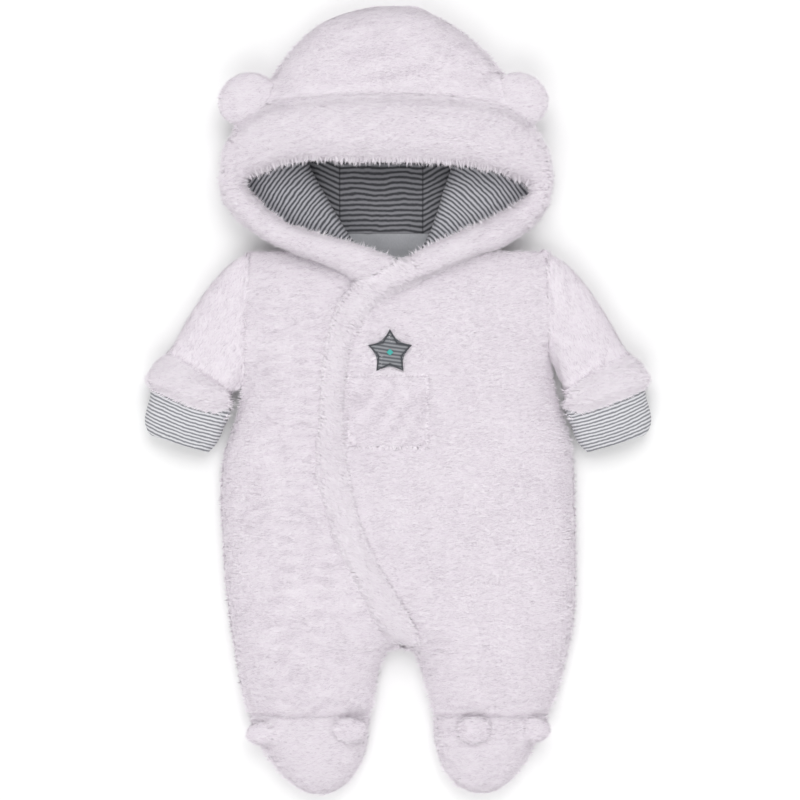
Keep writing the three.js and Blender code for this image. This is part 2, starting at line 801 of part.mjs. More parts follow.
function linings({ band }) {
  const flat = (levels, from, to, bottom) =>
    panel({
      levels,
      from,
      to,
      surface: () => bottom + LINING,
      thick: LINING,
      up: 1,
      across: 4,
      keep: (q) => q,
    });
  const hoodFloor = HOOD_SHELL + SEAM_GAP;
  add("hood_lining", "stripes", flat(
    [FACING.top + SEAM_GAP, 185, 220, 280, 335],
    (y) => Math.max(at(HOOD, y, "left") + LINING_INSET, LINING_LIMITS.left),
    (y) => Math.min(at(HOOD, y, "right") - LINING_INSET, LINING_LIMITS.right),
    hoodFloor,
  ));
  add("neck_facing", "grey", flat(
    [FACING.bottom, 130, 150, FACING.top],
    () => -FACING.halfWidth,
    () => FACING.halfWidth,
    SHELL + SEAM_GAP,
  ));

  const low = SHELL + LINING + 2 * SEAM_GAP;
  // A fold's section in its own upright plane, and the same drawn in by the lining's thickness.
  const section = (row, width, thick) => {
    const line = FOLD.map(
      ({ along, rise, bulge }) =>
        new THREE.Vector2(along * width, low + (row.edge - low) * rise + row.bulge * bulge),
    );
    return line.map((p, i) => {
      const ahead = line[Math.min(i + 1, line.length - 1)];
      const run = ahead.clone().sub(line[Math.max(i - 1, 0)]).normalize();
      return new THREE.Vector2(p.x + run.y * thick, p.y - run.x * thick);
    });
  };
  for (const side of ["left", "right"]) {
    const sheet = (thick) =>
      SIDE_LINING.map((row) => {
        const edge = new THREE.Vector2(row[`${side}X`], row[`${side}Y`]);
        const fold = new THREE.Vector2(row[`${side}FoldX`], row[`${side}FoldY`]);
        const width = edge.distanceTo(fold);
        return section(row, width, thick).map((p) => {
          const place = edge.clone().lerp(fold, p.x / width);
          return new THREE.Vector3(place.x, place.y, p.y);
        });
      });
    const made = clear(solid(wall(sheet(0), sheet(LINING))), [band]);
    add(`hood_side_lining_${side}`, "stripes", geometryOf(largest(made)));
  }
}

function footHeight(rows) {
  const line = [...outline(rows, "left"), ...outline(rows, "right").reverse()];
  return {
    top: (x, y) =>
      SEAM_HEIGHT +
      (FOOT_HEIGHT - SEAM_HEIGHT - dip(y - ANKLE)) * rounded(distanceTo(line, x, y) / FOOT_ROLL),
    under: (x, y) => (SEAM_HEIGHT - SEAM_GAP) * (1 - rounded(distanceTo(line, x, y) / FLOOR_ROLL)),
  };
}

function feet() {
  const made = {};
  for (const [side, rows] of Object.entries(FEET)) {
    const { top, under } = footHeight(rows);
    const shared = {
      levels: rows.map((row, i) => (i ? row.y : row.y - SEAM_GAP)),
      from: (y) => at(rows, y, "left"),
      to: (y) => at(rows, y, "right"),
      thick: SHELL,
      across: 9,
    };
    const upper = panel({ ...shared, surface: top, up: 1, keep: atOrAbove(SEAM_HEIGHT) });
    add(`foot_${side}`, "plush", upper);
    add(`sole_${side}`, "plush", panel({
      ...shared,
      surface: under,
      up: -1,
      keep: atOrBelow(SEAM_HEIGHT - SEAM_GAP),
    }));
    made[side] = solid(upper);
  }
  return made;
}

// A block that fills the space well under a surface, in a square round a place.
function below(height, x, y, reach) {
  const steps = 7;
  const grid = (z) =>
    Array.from({ length: steps + 1 }, (_, r) =>
      Array.from({ length: steps + 1 }, (_, c) => {
        const px = x - reach + (2 * reach * c) / steps;
        const py = y - reach + (2 * reach * r) / steps;
        return new THREE.Vector3(px, py, z(px, py));
      }),
    );
  return solid(wall(grid(height), grid(() => HIDDEN_DEPTH)));
}

function padded({ x, y, z, across, along, through, turn }) {
  const geometry = new THREE.SphereGeometry(1, 14, 9);
  geometry.scale(across, along, through);
  geometry.rotateZ(THREE.MathUtils.degToRad(turn));
  geometry.translate(x, y, z);
  return solid(geometry);
}

// Whether a place lies inside an outline, as even or odd crossings.
function inside(line, x, y) {
  let odd = false;
  for (let i = 0, j = line.length - 1; i < line.length; j = i++) {
    const [ax, ay] = line[i];
    const [bx, by] = line[j];
    if (ay > y !== by > y && x < ((bx - ax) * (y - ay)) / (by - ay) + ax) odd = !odd;
  }
  return odd;
}

// Each ear is a padded disc, hollowed where it lies against the piece that it is sewn to.
function ears(crown, band, front, foot) {
  const shellMiddle = HOOD_SHELL / 2;
  for (const ear of HOOD_EARS) {
    const core = (x, y) => (inside(HOOD_EDGE, x, y) ? crownHeight(x, y) - shellMiddle : HIDDEN_DEPTH / 2);
    let made = padded(ear).subtract(below(core, ear.x, ear.y, 40)).subtract(band.filled(2 * SEAM_GAP));
    made = clear(made, [crown]);
    add(ear.name, "plush", geometryOf(largest(made)));
  }
  for (const ear of FOOT_EARS) {
    const side = ear.x < 0 ? "left" : "right";
    const rows = FEET[side];
    const line = [...outline(rows, "left"), ...outline(rows, "right").reverse()];
    const { top } = footHeight(rows);
    const core = (x, y) => {
      if (y > ANKLE) return frontHeight(x, y) - shellMiddle;
      return inside(line, x, y) ? top(x, y) - shellMiddle : HIDDEN_DEPTH / 2;
    };
    const nearby = [foot[side], side === "left" ? front.lower : front.upper];
    const made = clear(padded(ear).subtract(below(core, ear.x, ear.y, 24)), nearby);
    add(ear.name, "plush", geometryOf(largest(made)));
  }
}

function pocket() {
  const { left, right, bottom, top, thick, edge, roll } = POCKET;
  const steps = 5;
  const grid = (lift) =>
    Array.from({ length: steps + 1 }, (_, r) =>
      Array.from({ length: steps + 1 }, (_, c) => {
        const x = left + (right - left) * crowded(c / steps);
        const y = bottom + (top - bottom) * crowded(r / steps);
        const inwards = Math.min(x - left, right - x, y - bottom, top - y);
        return new THREE.Vector3(x, y, upperFrontHeight(x, y) + LAY_GAP + lift(inwards));
      }),
    );
  const padding = (inwards) => edge + (thick - edge) * rounded(inwards / roll);
  add("pocket", "plush", wall(grid(padding), grid(() => 0)));
}

function badge() {
  const { x, y, radius, waist, points, thick } = BADGE;
  const star = new THREE.Shape(
    Array.from({ length: 2 * points }, (_, k) => {
      const angle = Math.PI / 2 + (Math.PI * k) / points;
      const reach = k % 2 ? waist : radius;
      return new THREE.Vector2(x + reach * Math.cos(angle), y + reach * Math.sin(angle));
    }),
  );
  const geometry = new THREE.ExtrudeGeometry(star, { depth: thick, bevelEnabled: false, steps: 1 });
  const position = geometry.attributes.position;
  for (let i = 0; i < position.count; i++) {
    const lift = upperFrontHeight(position.getX(i), position.getY(i)) + LAY_GAP;
    position.setZ(i, position.getZ(i) + lift);
  }
  geometry.computeVertexNormals();
  add("badge", "badge", geometry);
}

back();
const front = fronts();
const placketBand = placket(front);
arm("left");
arm("right");
const band = faceBand(placketBand);
const crown = hood(band);
linings(band);
const foot = feet();
ears(crown, band, front, foot);
pocket();
badge();

export default suit;
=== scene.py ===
# Baby snowsuit of padded white plush, laid on its back with its wrap front up.
# The suit is sewn from the back and the two fronts, through the arms and the hood, to the feet,
# ears, pocket and badge, and the script follows that order. Lengths are in metres unless a name
# ends in _mm.

import math
import bmesh
import bpy
import numpy as np
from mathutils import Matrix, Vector
from mathutils.bvhtree import BVHTree


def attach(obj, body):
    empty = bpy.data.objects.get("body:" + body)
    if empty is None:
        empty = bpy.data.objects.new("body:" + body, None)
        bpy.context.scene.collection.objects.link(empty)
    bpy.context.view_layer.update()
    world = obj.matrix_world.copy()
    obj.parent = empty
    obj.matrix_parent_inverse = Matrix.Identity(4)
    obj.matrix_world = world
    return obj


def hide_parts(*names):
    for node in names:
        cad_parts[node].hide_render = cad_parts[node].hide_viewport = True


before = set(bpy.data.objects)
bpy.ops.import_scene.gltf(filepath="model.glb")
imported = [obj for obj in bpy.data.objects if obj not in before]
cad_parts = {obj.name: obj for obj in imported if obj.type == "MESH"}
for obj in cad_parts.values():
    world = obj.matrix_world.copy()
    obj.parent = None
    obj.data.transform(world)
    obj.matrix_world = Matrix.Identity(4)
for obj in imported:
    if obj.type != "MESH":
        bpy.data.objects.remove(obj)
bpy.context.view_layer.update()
mm = 0.001

# The floor, the light and the camera.
# A plain pale floor, one large soft light from beyond the hood and above, and a weaker one from the
# feet. The camera looks straight down, and a photograph's pixel is a millimetre of the suit.
class Number:
    """A value on its way through a material, so that shader maths reads as plain arithmetic."""

    def __init__(self, finish, socket):
        self.finish = finish
        self.socket = socket

    def math(self, operation, *others, clamp=False):
        settings = {"operation": operation, "use_clamp": clamp}
        inputs = {i: value for i, value in enumerate((self,) + others)}
        return self.finish.add("ShaderNodeMath", settings, inputs)

    def __add__(self, other):
        return self.math("ADD", other)

    def __radd__(self, other):
        return self.math("ADD", other)

    def __sub__(self, other):
        return self.math("SUBTRACT", other)

    def __rsub__(self, other):
        return self.finish.add("ShaderNodeMath", {"operation": "SUBTRACT"}, {0: other, 1: self})

    def __mul__(self, other):
        return self.math("MULTIPLY", other)

    def __rmul__(self, other):
        return self.math("MULTIPLY", other)

    def __truediv__(self, other):
        return self.math("DIVIDE", other)


class Finish:
    """A material: its shader, and one way to add a node."""

    def __init__(self, name):
        self.material = bpy.data.materials.new(name)
        self.material.use_nodes = True
        self.tree = self.material.node_tree
        self.shader = self.tree.nodes["Principled BSDF"]

    def add(self, kind, settings=None, inputs=None, output=0):
        node = self.tree.nodes.new(kind)
        for key, value in (settings or {}).items():
            if key == "stops":
                ramp = node.color_ramp
                while len(ramp.elements) < len(value):
                    ramp.elements.new(0.5)
                for element, (place, colour) in zip(ramp.elements, value):
                    element.position = place
                    element.color = (*colour, 1)
            else:
                setattr(node, key, value)
        for key, value in (inputs or {}).items():
            self.feed(node.inputs[key], value)
        return Number(self, node.outputs[output])

    def feed(self, socket, value):
        if isinstance(value, Number):
            self.tree.links.new(value.socket, socket)
        else:
            socket.default_value = value

    def mix(self, factor, first, second):
        settings = {"data_type": "RGBA"}
        return self.add("ShaderNodeMix", settings, {0: factor, 6: first, 7: second}, output=2)

    def place(self):
        """Where a point of the surface is, in metres."""
        return self.add("ShaderNodeTexCoord", output=3)

    def scaled(self, vector, scale):
        return self.add("ShaderNodeVectorMath", {"operation": "MULTIPLY"}, {0: vector, 1: scale})

    def noise(self, vector, scale, detail=2.0, roughness=0.5):
        inputs = {"Vector": vector, "Scale": scale, "Detail": detail, "Roughness": roughness}
        return self.add("ShaderNodeTexNoise", None, inputs)

    def bump(self, height, distance, strength=1.0):
        inputs = {"Height": height, "Distance": distance, "Strength": strength}
        self.finish("Normal", self.add("ShaderNodeBump", None, inputs))

    def finish(self, name, value):
        self.feed(self.shader.inputs[name], value)


def srgb(red, green, blue):
    """A colour as it is seen on a screen, 0 to 255, as the shader's linear one."""
    def linear(value):
        value /= 255
        return value / 12.92 if value <= 0.04045 else ((value + 0.055) / 1.055) ** 2.4
    return (linear(red), linear(green), linear(blue), 1)


def mesh_object(name, points, faces):
    mesh = bpy.data.meshes.new(name)
    mesh.from_pydata([tuple(p) for p in points], [], faces)
    mesh.update()
    made = bpy.data.objects.new(name, mesh)
    bpy.context.collection.objects.link(made)
    return made


floor_half = 6.0
floor = mesh_object(
    "floor",
    [(-floor_half, -floor_half, 0), (floor_half, -floor_half, 0),
     (floor_half, floor_half, 0), (-floor_half, floor_half, 0)],
    [(0, 1, 2, 3)],
)
paper = Finish("paper")
fine = paper.noise(paper.place(), 40.0)
paper.finish("Base Color", paper.mix(fine, srgb(247, 247, 247), srgb(250, 250, 250)))
paper.finish("Roughness", 0.9)
floor.data.materials.append(paper.material)


def soft_light(name, place, size, watts):
    data = bpy.data.lights.new(name, "AREA")
    data.shape = "SQUARE"
    data.size = size
    data.energy = watts
    light = bpy.data.objects.new(name, data)
    bpy.context.collection.objects.link(light)
    light.location = place
    light.rotation_mode = "QUATERNION"
    light.rotation_quaternion = (Vector((0, 0, 0)) - Vector(place)).to_track_quat("-Z", "Y")


soft_light("light_above_hood", (0.15, 1.3, 2.3), size=1.7, watts=25)
soft_light("light_from_feet", (-0.3, -1.5, 2.2), size=2.0, watts=24.5)
surround_strength = 0.64
world = bpy.data.worlds.new("studio")
world.use_nodes = True
surround = world.node_tree.nodes["Background"]
surround.inputs["Color"].default_value = (1, 1, 1, 1)
surround.inputs["Strength"].default_value = surround_strength
bpy.context.scene.world = world

camera_aside = 0.002
camera_height = 2.6
view_width = 0.8
suit_middle_height = 0.035
camera_data = bpy.data.cameras.new("camera")
camera_data.lens = camera_data.sensor_width * (camera_height - suit_middle_height) / view_width
camera = bpy.data.objects.new("camera", camera_data)
bpy.context.collection.objects.link(camera)
camera.location = (camera_aside, 0, camera_height)
bpy.context.scene.camera = camera
bpy.context.scene.view_settings.view_transform = "Standard"

# Back: one panel from the neck to the ankles, of short white plush over wadding and a thin lining.
# It is cut on the fold down the middle, and sewn to both fronts at the side and inside leg seams.
# Only its rolled edge shows while the suit lies on it.
root = "root"
pile_inset = 2.2 * mm  # from the tips of the pile to its ground
pile_length = 6.5 * mm
pile_width = 1.0 * mm
pile_density = 2.1 / mm ** 2
length_range = (0.6, 1.25)
width_range = (0.7, 1.2)
broad_turn, broad_size = 0.16, 18 * mm  # the pile's lie wanders so far, in radians, over that width
fine_turn, fine_size = 0.14, 5 * mm
loose_turn = 0.3
lift_wave, lift_size = 0.03, 7 * mm
loose_lift = 0.1
lift_range = (0.06, 0.75)
lump_size = 45 * mm
shade_steps = [-0.1, 0.75]  # where a fibre's tone passes from bright to middle and to shade
cover_root = 1.2 * mm  # a piece that lies so far over a fibre's root hides it
cover_tip = 4 * mm
cover_high = 12 * mm
touch = 3.5 * mm  # how near to another piece a point counts as sewn
seam_gap = 0.3 * mm
sharp_edge = math.radians(52)
edge_firmness = 0.75
above_suit = 0.2  # rays down onto the suit start at this height
sky = 1.5  # and a ray that meets nothing over this length is in the open


def plush_ground():
    """The knitted ground of the plush and the roots of its pile, as fine streaks."""
    plush = Finish("plush_ground")
    streaks = plush.noise(plush.scaled(plush.place(), (1, 3.2, 2)), 210.0, 3.0, 0.6)
    clumps = plush.noise(plush.scaled(plush.place(), (1, 2, 1)), 60.0, 2.0)
    tone = streaks * 0.6 + clumps * 0.4
    colour = plush.mix(tone, srgb(214, 205, 214), srgb(246, 239, 246))
    plush.finish("Base Color", colour)
    plush.finish("Roughness", 0.95)
    plush.finish("Sheen Weight", 0.25)
    plush.finish("Specular IOR Level", 0.15)
    plush.bump(tone, 2.5 * mm, 0.8)
    return plush.material


def pile_tone(name, colour):
    """One tone of the pile's fibres. A fibre is too thin to hold more than one."""
    fibre = Finish(name)
    fibre.finish("Base Color", colour)
    fibre.finish("Roughness", 0.8)
    fibre.finish("Sheen Weight", 0.3)
    fibre.finish("Specular IOR Level", 0.2)
    return fibre.material


ground = plush_ground()
tones = [
    pile_tone("pile_bright", srgb(253, 248, 253)),
    pile_tone("pile_middle", srgb(246, 239, 246)),
    pile_tone("pile_shade", srgb(226, 218, 226)),
]


def tree_of(names):
    """The solids of those nodes, to cast rays at and to measure distances from."""
    points, faces = [], []
    for name in names:
        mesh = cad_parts[name].data
        start = len(points)
        points += [vertex.co.copy() for vertex in mesh.vertices]
        faces += [[start + i for i in polygon.vertices] for polygon in mesh.polygons]
    return BVHTree.FromPolygons(points, faces)


solids = tree_of(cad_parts)


def neighbours(node):
    """All the other solids."""
    return tree_of([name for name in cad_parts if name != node])


def subdivided(node, name, levels):
    """The node's wall as a finer, rounder mesh."""
    made = bpy.data.objects.new(name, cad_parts[node].data.copy())
    bpy.context.collection.objects.link(made)
    edit = bmesh.new()
    edit.from_mesh(made.data)
    bmesh.ops.remove_doubles(edit, verts=edit.verts, dist=0.02 * mm)
    bmesh.ops.join_triangles(
        edit, faces=edit.faces, angle_face_threshold=1.2, angle_shape_threshold=1.2
    )
    firm = edit.edges.layers.float.new("crease_edge")
    for edge in edit.edges:
        if edge.calc_face_angle(0) > sharp_edge:
            edge[firm] = edge_firmness
    edit.to_mesh(made.data)
    edit.free()
    made.modifiers.new("finer", "SUBSURF").levels = levels
    return applied(made)


def applied(made):
    """The object with its modifiers turned into its mesh."""
    bpy.context.view_layer.update()
    shown = made.evaluated_get(bpy.context.evaluated_depsgraph_get())
    mesh = bpy.data.meshes.new_from_object(shown)
    made.modifiers.clear()
    made.data = mesh
    mesh.materials.clear()
    mesh.polygons.foreach_set("use_smooth", [True] * len(mesh.polygons))
    return made


def arrays(mesh):
    """The mesh's points and their normals."""
    points = np.empty(len(mesh.vertices) * 3)
    mesh.vertices.foreach_get("co", points)
    ways = np.empty(len(mesh.vertices) * 3)
    mesh.vertex_normals.foreach_get("vector", ways)
    return points.reshape(-1, 3), ways.reshape(-1, 3)


def crease_depth(points, creases):
    """How far each point is pulled in, from creases given in millimetres as rows of
    x, y at one end, x, y at the other, depth, half width. A crease fades at both ends."""
    depth = np.zeros(len(points))
    for ax, ay, bx, by, deep, half in creases:
        run = np.array([bx - ax, by - ay]) * mm
        away = points[:, :2] - np.array([ax, ay]) * mm
        along = np.clip(away @ run / (run @ run), 0, 1)
        bend = 0.06 * np.sin(math.pi * along)[:, None] * np.array([-run[1], run[0]])
        off = np.linalg.norm(away - along[:, None] * run - bend, axis=1)
        fade = np.sin(math.pi * np.clip(0.08 + 0.84 * along, 0, 1))
        depth += deep * mm * fade * np.exp(-((off / (half * mm)) ** 2))
    return depth


def waves(points, seed, size, stretch=1.0, octaves=6):
    """A smooth random field, about -1 to 1, with lumps of that size and drawn out along X."""
    random = np.random.default_rng(seed)
    total = np.zeros(len(points))
    for _ in range(octaves):
        way = random.normal(size=3)
        way *= random.uniform(0.7, 1.5) / (np.linalg.norm(way) * size)
        way[0] /= stretch
        total += np.sin(points @ way * 2 * math.pi + random.uniform(0, 2 * math.pi))
    return total / octaves ** 0.5 / 1.2


def nearness(points, around, reach):
    """How close each point is to another piece, 1 where it is sewn or laid against one and 0 where
    it is free, the way towards that piece and how far off it is."""
    near = np.zeros(len(points))
    towards = np.zeros((len(points), 3))
    gap = np.zeros(len(points))
    for i, point in enumerate(points):
        place, _, _, far = around.find_nearest(Vector(point), reach)
        if place is not None and far > 1e-6:
            near[i] = min(max(1.4 - 1.4 * far / reach, 0), 1)
            towards[i] = (np.array(place) - point) / far
            gap[i] = far
    return near, towards, gap


def settle(piece, around, inset, creases=(), lumps=0.5, seed=1, reach=touch):
    """Draws the ground in from the tips of its pile, presses its creases in and makes it uneven.
    At a seam it is drawn up to the piece that it is sewn to."""
    points, ways = arrays(piece.data)
    near, towards, gap = nearness(points, around, reach)
    resting = (ways[:, 2] < -0.6) & (points[:, 2] < 4 * mm)
    depth = np.where(resting, 0.1 * mm, inset)
    depth += crease_depth(points, creases) * np.clip(ways[:, 2], 0, 1)
    uneven = np.clip(0.5 + 0.5 * waves(points, seed, lump_size), 0, 1) * ~resting * (1 - near)
    depth += lumps * mm * uneven
    move = -ways * depth[:, None]
    away = np.minimum(np.sum(move * towards, axis=1), 0) * near
    move -= towards * away[:, None]
    move += towards * (np.maximum(gap - seam_gap, 0) * near)[:, None]
    points = points + move
    points[:, 2] = np.maximum(points[:, 2], 0.1 * mm)
    piece.data.vertices.foreach_set("co", points.ravel())
    piece.data.update()


def open_to_view(piece, keep):
    """For each face, whether it is on the plush side and can be seen from above the floor."""
    points, ways = arrays(piece.data)
    free = np.zeros(len(points), bool)
    for i, (point, way) in enumerate(zip(points, ways)):
        point, way = Vector(point), Vector(way)
        if not keep(point, way):
            continue
        skin = solids.ray_cast(point, way, 12 * mm)[0] or point
        start = skin + way * 2 * mm
        side = way.orthogonal().normalized()
        other = way.cross(side)
        rays = [way]
        for turn in range(6):
            angle = turn * math.pi / 3
            rays.append(way * 0.6 + (side * math.cos(angle) + other * math.sin(angle)) * 0.8)
        free[i] = any(
            ray.z > -0.05 and solids.ray_cast(start, ray, sky)[0] is None for ray in rays
        )
    return np.array([any(free[i] for i in face.vertices) for face in piece.data.polygons])


def covered(roots, tips, around):
    """For each fibre, whether another piece lies over its root or its tip and hides it."""
    hidden = np.zeros(len(roots), bool)
    down = Vector((0, 0, -1))
    for i, (foot, tip) in enumerate(zip(roots, tips)):
        for place, low in ((foot, cover_root), (tip, cover_tip)):
            top = around.ray_cast(Vector((place[0], place[1], above_suit)), down)[0]
            if top is not None and low < top.z - foot[2] < cover_high:
                hidden[i] = True
    return hidden


def scattered(mesh, seen, random):
    """Points spread evenly over the faces that are seen, and the surface's normals there."""
    mesh.calc_loop_triangles()
    corners = np.array([t.vertices for t in mesh.loop_triangles])
    owner = np.array([t.polygon_index for t in mesh.loop_triangles])
    corners = corners[seen[owner]]
    points, ways = arrays(mesh)
    a, b, c = points[corners[:, 0]], points[corners[:, 1]], points[corners[:, 2]]
    areas = np.linalg.norm(np.cross(b - a, c - a), axis=1) / 2
    expected = areas * pile_density
    count = np.floor(expected).astype(int)
    count += random.random(len(areas)) < expected - count
    pick = np.repeat(np.arange(len(areas)), count)
    u, v = random.random((2, len(pick)))
    fold = u + v > 1
    u, v = np.where(fold, 1 - u, u)[:, None], np.where(fold, 1 - v, v)[:, None]
    places = a[pick] + (b[pick] - a[pick]) * u + (c[pick] - a[pick]) * v
    normals = ways[corners[pick, 0]] * (1 - u - v) + ways[corners[pick, 1]] * u
    normals += ways[corners[pick, 2]] * v
    return places, normals / np.linalg.norm(normals, axis=1)[:, None]


def combed(roots, normals, lie, seed, random):
    """The way each fibre lies along the surface, either way along the pile's lie."""
    turn = broad_turn * waves(roots, seed + 1, broad_size)
    turn += fine_turn * waves(roots, seed + 2, fine_size)
    turn += random.normal(0, loose_turn, len(roots))
    sign = np.where(random.random(len(roots)) < 0.5, 1, -1)
    base = math.atan2(lie[1], lie[0])
    flat = np.stack([np.cos(base + turn) * sign, np.sin(base + turn) * sign, 0 * turn], axis=1)
    tangent = flat - normals * np.sum(flat * normals, axis=1)[:, None]
    weak = np.linalg.norm(tangent, axis=1) < 0.3
    tangent[weak] += np.array([0.0, 0.25, -0.6])
    tangent -= normals * np.sum(tangent * normals, axis=1)[:, None]
    return tangent / np.linalg.norm(tangent, axis=1)[:, None]


def grow_pile(
    piece, around, seed, keep, lie=(1.0, 0.1), length=pile_length, rise=0.34, bright=0.0
):
    """Plush pile on the parts of a piece that can be seen: flat tapered fibres, rooted in the
    ground and lying mostly across the suit, that turn and lift together in small tufts."""
    random = np.random.default_rng(seed)
    roots, normals = scattered(piece.data, open_to_view(piece, keep), random)
    tangent = combed(roots, normals, lie, seed, random)
    lift = rise + lift_wave * waves(roots, seed + 4, lift_size, 3)
    lift = np.clip(lift + random.normal(0, loose_lift, len(roots)), *lift_range)[:, None]
    reach = length * random.uniform(*length_range, len(roots))[:, None]
    tips = roots + (tangent * np.sqrt(1 - lift ** 2) + normals * lift) * reach
    tips[:, 2] = np.maximum(tips[:, 2], 0.4 * mm)
    wide = np.cross(normals, tangent) * pile_width
    wide *= random.uniform(*width_range, len(roots))[:, None]
    lines = np.stack([roots + wide / 2, roots - wide / 2, tips], axis=1)
    lines[:, :, 2] = np.maximum(lines[:, :, 2], 0.2 * mm)

    # bright moves the tone of every fibre of the piece: above nought it paints the whole pile
    # lighter as a painted highlight, below nought darker as painted shade.
    tone = waves(roots, seed + 5, 3 * mm, 4) * 0.6 + waves(roots, seed + 6, 30 * mm, 1.5) * 0.15
    tone += random.normal(0, 0.45, len(roots)) + bright
    slots = np.digitize(-tone, shade_steps)
    shown = ~covered(roots, tips, around)
    normals = normals[shown]
    lit = normals + np.array([0, 0, 0.5]) * (normals[:, 2:] > -0.4)
    lit /= np.linalg.norm(lit, axis=1)[:, None]
    flat_lines = lines[shown].reshape(-1, 3)
    return fibres(piece.name + "_pile", flat_lines, np.repeat(lit, 3, axis=0), slots[shown])


def fibres(name, lines, normals, slots):
    """A piece of many loose triangles, each a fibre."""
    total = len(lines) // 3
    mesh = bpy.data.meshes.new(name)
    mesh.vertices.add(total * 3)
    mesh.vertices.foreach_set("co", lines.ravel())
    mesh.loops.add(total * 3)
    mesh.loops.foreach_set("vertex_index", np.arange(total * 3, dtype=np.int32))
    mesh.polygons.add(total)
    mesh.polygons.foreach_set("loop_start", np.arange(0, total * 3, 3, dtype=np.int32))
    mesh.polygons.foreach_set("material_index", slots.astype(np.int32))
    mesh.polygons.foreach_set("use_smooth", np.ones(total, bool))
    mesh.update()
    mesh.normals_split_custom_set_from_vertices(normals)
    for tone in tones:
        mesh.materials.append(tone)
    made = bpy.data.objects.new(name, mesh)
    bpy.context.collection.objects.link(made)
    return made


def sewn(piece, nodes, pile=None):
    """Hangs a piece, and its pile, on the suit in the place of its solids."""
    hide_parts(*nodes)
    for part in filter(None, (piece, pile)):
        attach(part, root)


def faces_up(place, way):
    return way.z > -0.3


def faces_down(place, way):
    return way.z < 0.3


def plush_panel(node, name, seed, levels=2, creases=(), keep=faces_up, reach=touch, **pile):
    """A panel of plush, wadding and lining, with its pile."""
    piece = subdivided(node, name, levels)
    around = neighbours(node)
    settle(piece, around, pile_inset, creases, seed=seed, reach=reach)
    piece.data.materials.append(ground)
    grown = grow_pile(piece, around, seed, keep, **pile)
    sewn(piece, [node], grown)
    return piece, grown


back, back_pile = plush_panel("back", "back_panel", 10, keep=faces_down)

# Fronts: the lower front lies under the wrap, and the upper one reaches over it to the placket.
# Both are the same padded plush, eased a little into the armholes, the crotch and the ankle seams.
# Soft creases run from the underarms and the crotch, as the filled cloth gives there.
lower_creases = [
    (-152, 40, -112, 62, 2.6, 9), (-156, 8, -124, -12, 2.2, 8), (-150, 96, -128, 118, 1.6, 8),
    (-176, -70, -140, -96, 1.6, 12), (-176, -150, -128, -138, 1.4, 14),
    (-20, -262, -58, -236, 2.6, 9), (-26, -290, -66, -276, 1.8, 9),
    (-160, -262, -118, -272, 1.5, 10), (-98, -60, -92, -150, 1.3, 12),
    (-150, -300, -108, -306, 1.4, 7), (-70, -302, -44, -310, 1.3, 6),
]
upper_creases = [
    (150, 52, 108, 70, 2.6, 9), (158, 20, 122, -6, 2.4, 9), (150, 104, 126, 122, 1.6, 8),
    (178, -84, 136, -112, 1.7, 13), (176, -168, 120, -150, 1.5, 15), (24, -262, 66, -232, 2.8, 10),
    (6, -218, 16, -230, 2.4, 6), (32, -264, 44, -272, 2.4, 6), (32, -292, 74, -278, 1.8, 9),
    (166, -256, 122, -268, 1.5, 10), (60, -96, 84, -168, 1.3, 14), (146, -300, 106, -307, 1.4, 7),
    (58, -304, 84, -311, 1.3, 6), (40, 78, 92, 92, 1.2, 11), (20, -130, 66, -196, 1.4, 12),
]
# The fronts' pile is painted a little darker than the plain pile, as painted shade over the chest
# and belly.
front_lower, lower_pile = plush_panel(
    "front_lower", "front_lower_panel", 20, creases=lower_creases, bright=-0.12
)
front_upper, upper_pile = plush_panel(
    "front_upper", "front_upper_panel", 30, creases=upper_creases, bright=-0.12
)

# Placket: a band of the same plush, folded double and sewn along the upper front's edge.
# It is a little fuller than the fronts. Its right side sinks into the seam, and its left edge is
# soft with the ends of its pile.
voxel = 2.6 * mm
pad_touch = 5.5 * mm
cloth_quality = 4
cloth_pressure = 4
cloth_frames = 12
tuft_fibres = 6
tuft_lift = 0.6 * mm
tuft_shades = [0.3, 0.85]  # the shares of the tufts' fibres that are bright, and not in shade


def puffed(node, name, around, inset, cap, reach):
    """A stuffed piece: its solid drawn in, and blown up as cloth as far as the cap lets it go, with
    its seams held where they are."""
    made = bpy.data.objects.new(name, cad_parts[node].data.copy())
    bpy.context.collection.objects.link(made)
    remesh = made.modifiers.new("even", "REMESH")
    remesh.mode = "VOXEL"
    remesh.voxel_size = voxel
    smoother = made.modifiers.new("rounder", "SMOOTH")
    smoother.iterations = 2
    smoother.factor = 0.5
    applied(made)
    settle(made, around, inset, lumps=0.0, reach=reach)
    blow_up(made, nearness(arrays(made.data)[0], around, reach)[0], cap)
    return made


def blow_up(made, sewn_places, cap):
    """Pressure inside the piece, as cloth, with its sewn places pinned."""
    start = arrays(made.data)[0]
    pins = made.vertex_groups.new(name="sewn")
    for i in np.flatnonzero(sewn_places > 0.2):
        pins.add([int(i)], float(sewn_places[i]), "REPLACE")
    cloth = made.modifiers.new("cloth", "CLOTH")
    cloth.settings.quality = cloth_quality
    cloth.settings.vertex_group_mass = "sewn"
    cloth.settings.use_pressure = True
    cloth.settings.uniform_pressure_force = cloth_pressure
    cloth.settings.effector_weights.gravity = 0
    cloth.point_cache.frame_end = cloth_frames
    scene = bpy.context.scene
    for number in range(1, cloth_frames + 1):
        scene.frame_set(number)
    shown = made.evaluated_get(bpy.context.evaluated_depsgraph_get())
    moved = np.empty(len(start) * 3)
    shown.data.vertices.foreach_get("co", moved)
    made.modifiers.remove(cloth)
    made.vertex_groups.clear()
    scene.frame_set(1)
    step = moved.reshape(-1, 3) - start
    far = np.linalg.norm(step, axis=1)[:, None]
    points = start + step * np.minimum(1, cap / np.maximum(far, 1e-9))
    points[:, 2] = np.maximum(points[:, 2], 0.3 * mm)
    made.data.vertices.foreach_set("co", points.ravel())
    made.data.update()


def anywhere(place, way):
    return True


